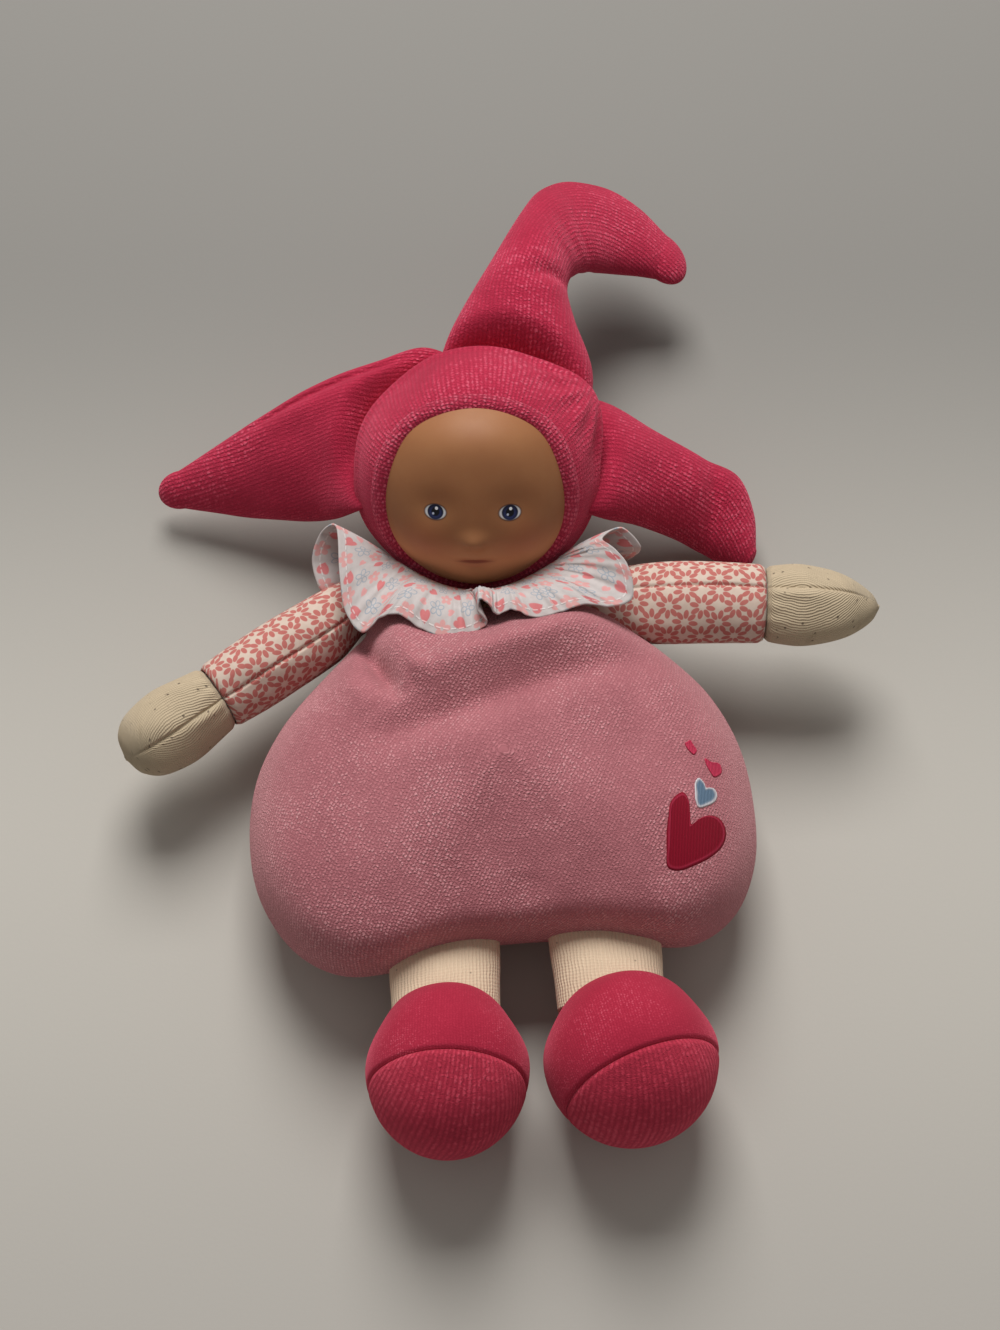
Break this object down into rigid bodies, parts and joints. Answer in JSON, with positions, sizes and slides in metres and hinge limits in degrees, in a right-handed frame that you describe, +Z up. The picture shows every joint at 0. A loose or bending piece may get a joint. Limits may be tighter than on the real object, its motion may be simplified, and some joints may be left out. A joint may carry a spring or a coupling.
{
  "type": "baby doll",
  "caption": "Soft baby doll lying on its back: velour bag body, printed sleeves, mitten hands, round slippers, ruffled collar and a pointed velour hood round a vinyl face.",
  "frame": {"origin": "on the floor, on the flat of the bag's back, near the middle of the bag", "axes": "+Y towards the head along the lying doll, +X to the viewer's right, +Z up from the floor"},
  "size_m": [0.2169, 0.303, 0.0725],
  "materials": {
    "raspberry_velour": "velour pile, matt",
    "slipper_velour": "ribbed velour pile, matt",
    "pink_velour": "velour pile, matt",
    "brown_vinyl": "satin vinyl with painted features",
    "ruffle_cotton": "printed plain weave, matt",
    "sleeve_cotton": "printed plain weave, matt",
    "hand_jersey": "fine jersey, matt",
    "leg_jersey": "ribbed jersey, matt",
    "wadding": "loose polyester fibre",
    "pink_thread": "satin-stitch embroidery",
    "blue_thread": "satin-stitch embroidery",
    "tie_cord": "twisted cotton cord"
  },
  "bodies": {
    "torso": {"body_front": "pink_velour", "body_back": "pink_velour", "body_filling": "wadding", "heart_large": "pink_thread", "heart_blue": "blue_thread", "heart_small_upper": "pink_thread", "heart_small_lower": "pink_thread", "collar_ruffle": "ruffle_cotton"},
    "neck": {"neck": "hand_jersey", "neck_tie": "tie_cord"},
    "head": {"face_mask": "brown_vinyl", "head_filling": "wadding", "hood_brim": "raspberry_velour", "hood_front": "raspberry_velour", "hood_back": "raspberry_velour"},
    "hood_peak": {"hood_peak": "raspberry_velour", "peak_wadding": "wadding"},
    "hood_left_point": {"hood_left_point": "raspberry_velour", "left_point_wadding": "wadding"},
    "hood_right_point": {"hood_right_point": "raspberry_velour", "right_point_wadding": "wadding"},
    "left_arm": {"left_sleeve": "sleeve_cotton", "left_hand": "hand_jersey", "left_arm_filling": "wadding"},
    "right_arm": {"right_sleeve": "sleeve_cotton", "right_hand": "hand_jersey", "right_arm_filling": "wadding"},
    "left_leg": {"left_leg": "leg_jersey", "left_leg_filling": "wadding", "left_slipper_upper": "slipper_velour", "left_slipper_sole": "slipper_velour"},
    "right_leg": {"right_leg": "leg_jersey", "right_leg_filling": "wadding", "right_slipper_upper": "slipper_velour", "right_slipper_sole": "slipper_velour"}
  },
  "joints": [
    {"name": "head_turn", "type": "hinge", "parent": "torso", "child": "neck", "pos_m": [-0.008, 0.057, 0.021], "axis": [0, 1, 0], "range_deg": [-35, 35]},
    {"name": "head_nod", "type": "hinge", "parent": "neck", "child": "head", "pos_m": [-0.008, 0.06352, 0.02423], "axis": [1, 0, 0], "range_deg": [-12, 8]},
    {"name": "hood_peak_flop", "type": "hinge", "parent": "head", "child": "hood_peak", "pos_m": [0.00239, 0.12928, 0.04819], "axis": [0.9506, -0.3104, 0], "range_deg": [-15, 45]},
    {"name": "left_point_flop", "type": "hinge", "parent": "head", "child": "hood_left_point", "pos_m": [-0.04179, 0.10929, 0.0355], "axis": [0.3305, 0.9438, 0], "range_deg": [-10, 45]},
    {"name": "right_point_flop", "type": "hinge", "parent": "head", "child": "hood_right_point", "pos_m": [0.02763, 0.10096, 0.0355], "axis": [0.0978, -0.9952, 0], "range_deg": [-10, 45]},
    {"name": "left_arm_lift", "type": "hinge", "parent": "torso", "child": "left_arm", "pos_m": [-0.0415, 0.0585, 0.0255], "axis": [0, 1, 0], "range_deg": [-15, 60], "deforming": ["collar_ruffle"]},
    {"name": "right_arm_lift", "type": "hinge", "parent": "torso", "child": "right_arm", "pos_m": [0.0255, 0.0585, 0.0255], "axis": [0, -1, 0], "range_deg": [-15, 60], "deforming": ["collar_ruffle"]},
    {"name": "left_leg_lift", "type": "hinge", "parent": "torso", "child": "left_leg", "pos_m": [-0.0165, -0.04723, 0.023], "axis": [-0.9719, -0.2353, 0], "range_deg": [-15, 60]},
    {"name": "right_leg_lift", "type": "hinge", "parent": "torso", "child": "right_leg", "pos_m": [0.028, -0.0431, 0.023], "axis": [-0.9989, 0.0464, 0], "range_deg": [-15, 60]}
  ]
}
